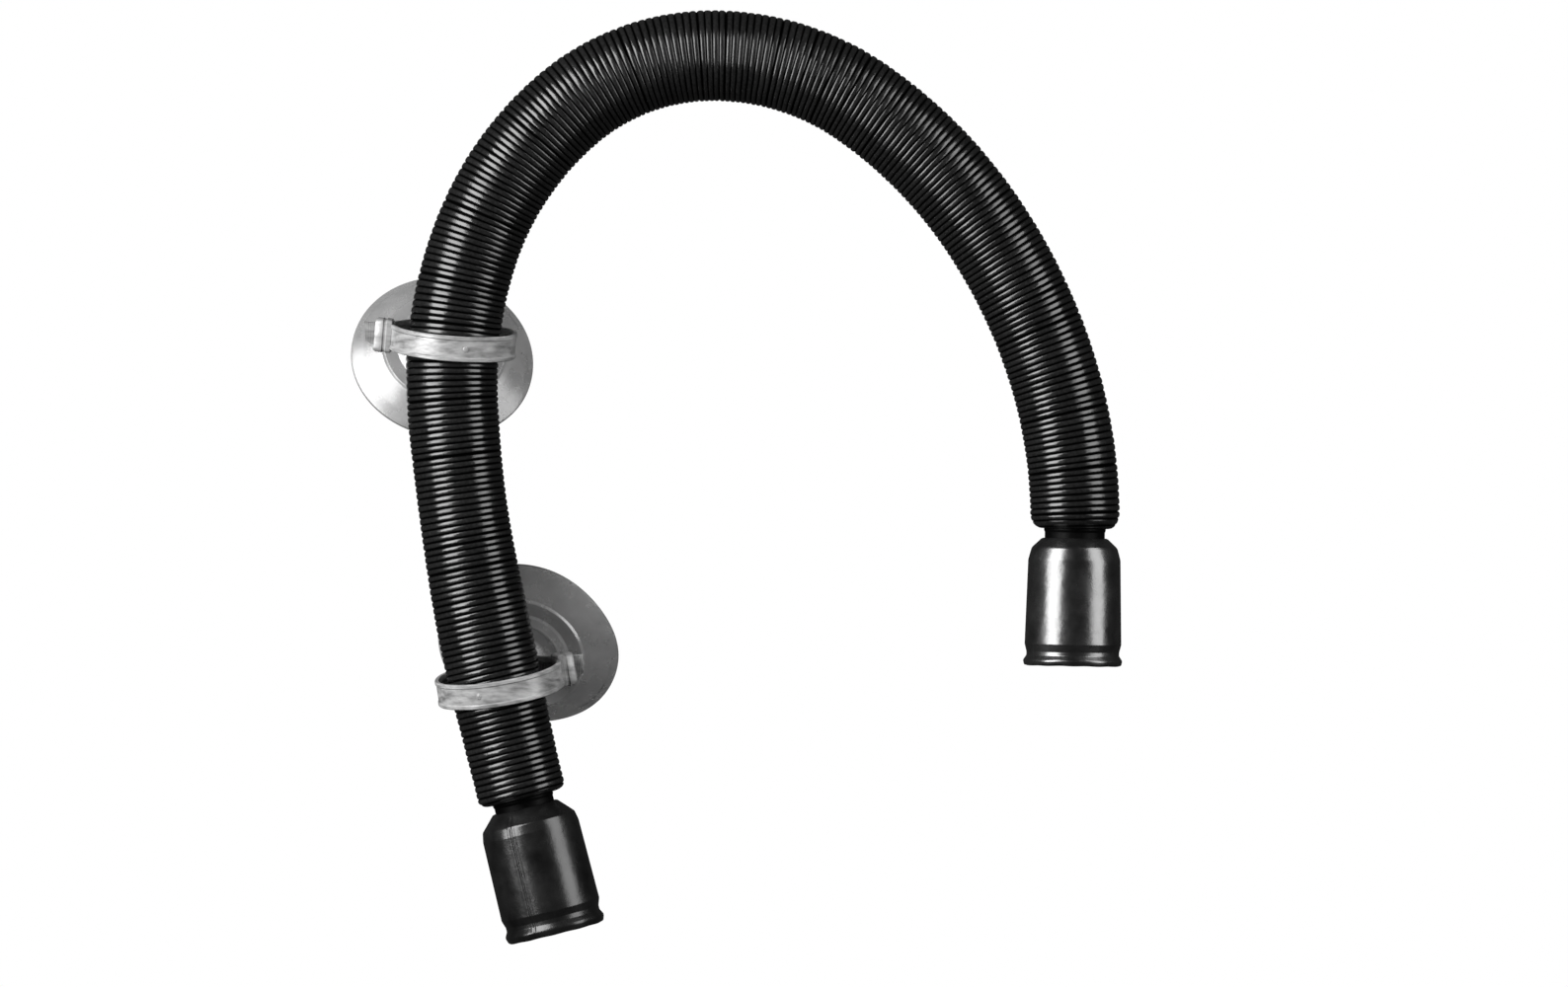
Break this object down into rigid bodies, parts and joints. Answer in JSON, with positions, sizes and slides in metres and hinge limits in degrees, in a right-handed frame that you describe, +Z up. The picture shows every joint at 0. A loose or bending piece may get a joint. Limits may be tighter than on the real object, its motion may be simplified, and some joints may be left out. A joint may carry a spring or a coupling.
{
  "type": "snorkel tube",
  "caption": "Flexible close-wound spiral breathing hose that holds its bend, with swivelling rubber cuffs and suction cups tied behind it.",
  "frame": {"origin": "centre of the upper suction cup's face", "axes": "+Z up along the straight wall leg, +X from the wall leg towards the free leg, +Y away from the hose towards the wall that the cups hold"},
  "size_m": [0.2767, 0.078, 0.332],
  "materials": {
    "hose_plastic": "semi-gloss black plasticised PVC, close-wound ribs",
    "collar_plastic": "satin black moulded plastic",
    "cuff_rubber": "soft black rubber with a dull sheen",
    "cup_vinyl": "clear soft vinyl, slightly smoky",
    "tie_nylon": "natural translucent nylon"
  },
  "bodies": {
    "link_03": {"hose_link_03": "hose_plastic"},
    "link_02": {"hose_link_02": "hose_plastic"},
    "link_01": {"hose_link_01": "hose_plastic", "end_collar_wall": "collar_plastic"},
    "link_04": {"hose_link_04": "hose_plastic"},
    "link_05": {"hose_link_05": "hose_plastic"},
    "link_06": {"hose_link_06": "hose_plastic"},
    "link_07": {"hose_link_07": "hose_plastic"},
    "link_08": {"hose_link_08": "hose_plastic"},
    "link_09": {"hose_link_09": "hose_plastic", "end_collar_free": "collar_plastic"},
    "cuff_wall": {"cuff_wall": "cuff_rubber"},
    "cuff_free": {"cuff_free": "cuff_rubber"},
    "tie_upper": {"cable_tie_upper": "tie_nylon"},
    "tie_lower": {"cable_tie_lower": "tie_nylon"},
    "cup_upper": {"suction_cup_upper": "cup_vinyl"},
    "cup_lower": {"suction_cup_lower": "cup_vinyl"}
  },
  "joints": [
    {"name": "bend_01_02", "type": "hinge", "parent": "link_02", "child": "link_01", "pos_m": [0.01404, -0.04206, -0.08304], "axis": [0, -1, 0], "range_deg": [-15, 7]},
    {"name": "bend_02_03", "type": "hinge", "parent": "link_03", "child": "link_02", "pos_m": [0.00556, -0.04206, -0.01863], "axis": [0, -1, 0], "range_deg": [-20, 6]},
    {"name": "bend_03_04", "type": "hinge", "parent": "link_03", "child": "link_04", "pos_m": [0.01399, -0.04206, 0.04133], "axis": [0, 1, 0], "range_deg": [-26, 5]},
    {"name": "bend_04_05", "type": "hinge", "parent": "link_04", "child": "link_05", "pos_m": [0.04593, -0.04206, 0.08781], "axis": [0, 1, 0], "range_deg": [-35, 5]},
    {"name": "bend_05_06", "type": "hinge", "parent": "link_05", "child": "link_06", "pos_m": [0.09819, -0.04206, 0.10735], "axis": [0, 1, 0], "range_deg": [-38, 4]},
    {"name": "bend_06_07", "type": "hinge", "parent": "link_06", "child": "link_07", "pos_m": [0.15171, -0.04206, 0.09047], "axis": [0, 1, 0], "range_deg": [-28, 5]},
    {"name": "bend_07_08", "type": "hinge", "parent": "link_07", "child": "link_08", "pos_m": [0.19252, -0.04206, 0.04967], "axis": [0, 1, 0], "range_deg": [-20, 7]},
    {"name": "bend_08_09", "type": "hinge", "parent": "link_08", "child": "link_09", "pos_m": [0.2183, -0.04206, -0.00205], "axis": [0, 1, 0], "range_deg": [-20, 7]},
    {"name": "cuff_swivel_wall", "type": "hinge", "parent": "link_01", "child": "cuff_wall", "pos_m": [0.03049, -0.04206, -0.15723], "axis": [0.2419, 0, -0.9703], "continuous": true},
    {"name": "cuff_swivel_free", "type": "hinge", "parent": "link_09", "child": "cuff_free", "pos_m": [0.22713, -0.04206, -0.06112], "axis": [-0.0175, 0, -0.9998], "continuous": true},
    {"name": "tie_turn_upper", "type": "hinge", "parent": "link_03", "child": "tie_upper", "pos_m": [0.00591, -0.04206, 0.00583], "axis": [0.0983, 0, 0.9952], "continuous": true},
    {"name": "cup_tilt_upper", "type": "hinge", "parent": "tie_upper", "child": "cup_upper", "pos_m": [0.00282, -0.01695, 0.00922], "axis": [0.9895, 0.1304, -0.0626], "range_deg": [-13, 71]},
    {"name": "tie_turn_lower", "type": "hinge", "parent": "link_01", "child": "tie_lower", "pos_m": [0.02092, -0.04206, -0.11633], "axis": [-0.2137, 0, 0.9769], "continuous": true},
    {"name": "cup_tilt_lower", "type": "hinge", "parent": "tie_lower", "child": "cup_lower", "pos_m": [0.02739, -0.01779, -0.1118], "axis": [0.9562, -0.2741, 0.1022], "range_deg": [-67, 17]}
  ]
}
